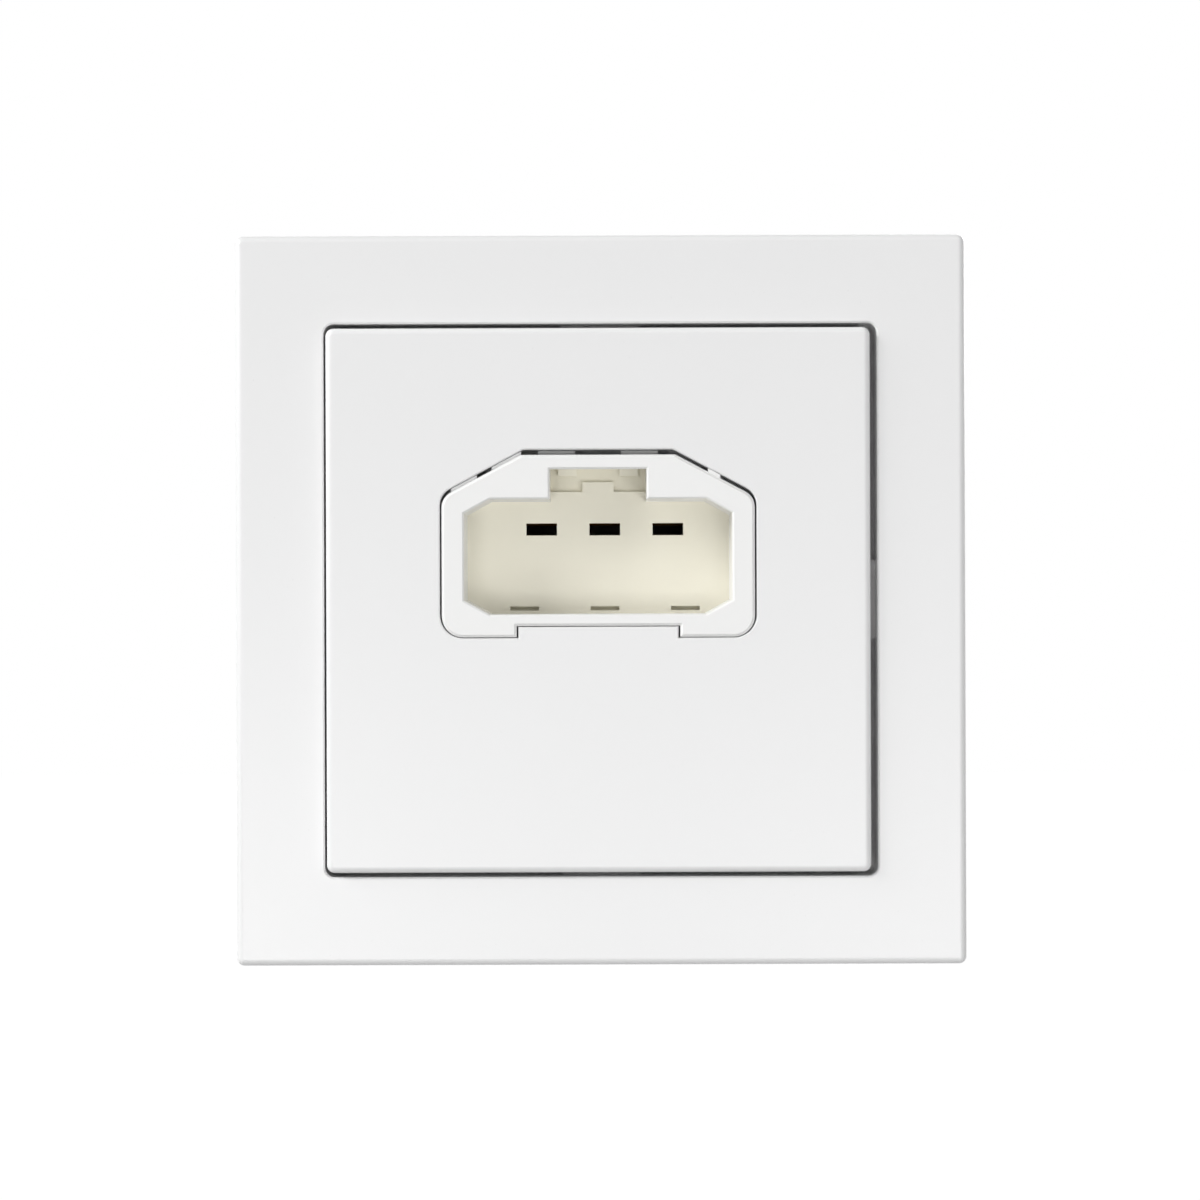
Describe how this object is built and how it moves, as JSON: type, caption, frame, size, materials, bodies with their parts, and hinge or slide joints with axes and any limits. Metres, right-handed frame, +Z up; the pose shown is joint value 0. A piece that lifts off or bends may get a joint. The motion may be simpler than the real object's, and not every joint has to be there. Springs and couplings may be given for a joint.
{
  "type": "lighting connection outlet",
  "caption": "Square white flush wall outlet with a keyed recess and flat contact slots for a lamp plug, steel support plate and screwless terminals behind.",
  "frame": {"origin": "middle of the insert on the wall plane, in the middle of the four box screw holes", "axes": "+X to the viewer's right, +Z up, -Y out of the wall toward the viewer, +Y into the wall box"},
  "size_m": [0.085, 0.0339, 0.085],
  "materials": {
    "white_plastic": "smooth satin white",
    "cream_plastic": "moulded cream",
    "grey_plastic": "moulded light grey",
    "button_plastic": "moulded orange",
    "zinc_steel": "zinc plated",
    "bronze": "bare rolled bronze",
    "spring_steel": "bright stainless"
  },
  "bodies": {
    "outlet": {"cover_frame": "white_plastic", "centre_plate": "white_plastic", "socket_shroud": "white_plastic", "contact_block": "cream_plastic", "support_plate": "zinc_steel", "rear_cover": "grey_plastic", "cover_screws": "zinc_steel", "support_screws": "zinc_steel", "line_contact": "bronze", "line_spring": "spring_steel", "earth_contact": "bronze", "earth_spring": "spring_steel", "neutral_contact": "bronze", "neutral_spring": "spring_steel"},
    "line_release": {"line_button": "button_plastic"},
    "earth_release": {"earth_button": "button_plastic"},
    "neutral_release": {"neutral_button": "button_plastic"}
  },
  "joints": [
    {"name": "line_release_press", "type": "slide", "parent": "outlet", "child": "line_release", "axis": [0, -1, 0], "range_m": [0, 0.0016], "stiffness_N_per_m": 3000, "springref_m": -0.001, "deforming": ["line_spring"]},
    {"name": "earth_release_press", "type": "slide", "parent": "outlet", "child": "earth_release", "axis": [0, -1, 0], "range_m": [0, 0.0016], "stiffness_N_per_m": 3000, "springref_m": -0.001, "deforming": ["earth_spring"]},
    {"name": "neutral_release_press", "type": "slide", "parent": "outlet", "child": "neutral_release", "axis": [0, -1, 0], "range_m": [0, 0.0016], "stiffness_N_per_m": 3000, "springref_m": -0.001, "deforming": ["neutral_spring"]}
  ]
}
